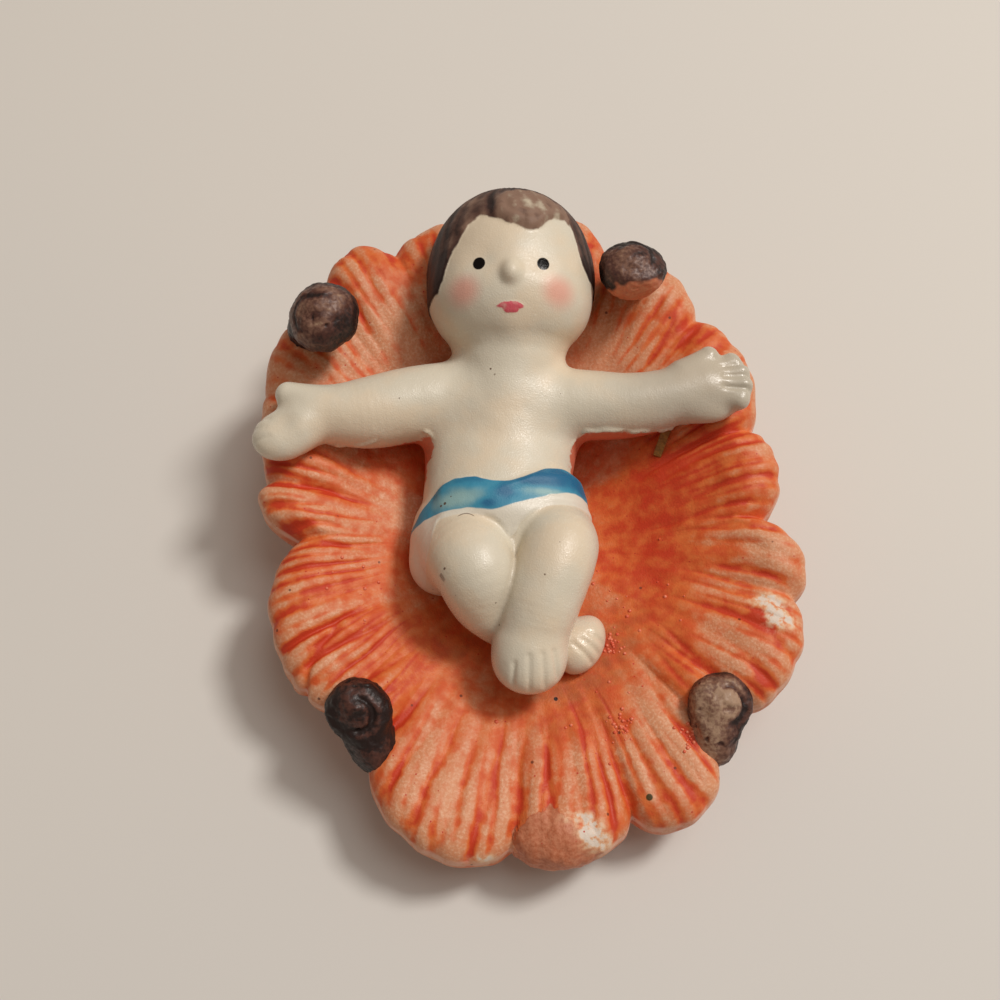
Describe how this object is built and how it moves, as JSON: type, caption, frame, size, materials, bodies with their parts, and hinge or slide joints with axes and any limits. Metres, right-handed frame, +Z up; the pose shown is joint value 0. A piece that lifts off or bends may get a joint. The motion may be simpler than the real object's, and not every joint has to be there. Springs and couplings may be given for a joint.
{
  "type": "nativity infant figurine",
  "caption": "Small painted bisque infant with open arms and crossed feet, lying on a lobed bed of straw with a log end at each corner; rests flat.",
  "frame": {"origin": "middle of the flat underside, on the surface that the figurine rests on", "axes": "+Z up, +Y towards the infant's head, +X to the infant's left"},
  "size_m": [0.0594, 0.0763, 0.029],
  "materials": {
    "straw_paint": "matte grainy bisque under a peach and red-orange wash",
    "child_paint": "warm ivory bisque with a satin sheen and fine sparkle",
    "log_paint": "dark brown mottled paint with a semi-gloss coat",
    "straw_sliver": "flat dry straw, olive gold"
  },
  "bodies": {
    "root": {"figurine": "straw_paint"}
  },
  "joints": []
}
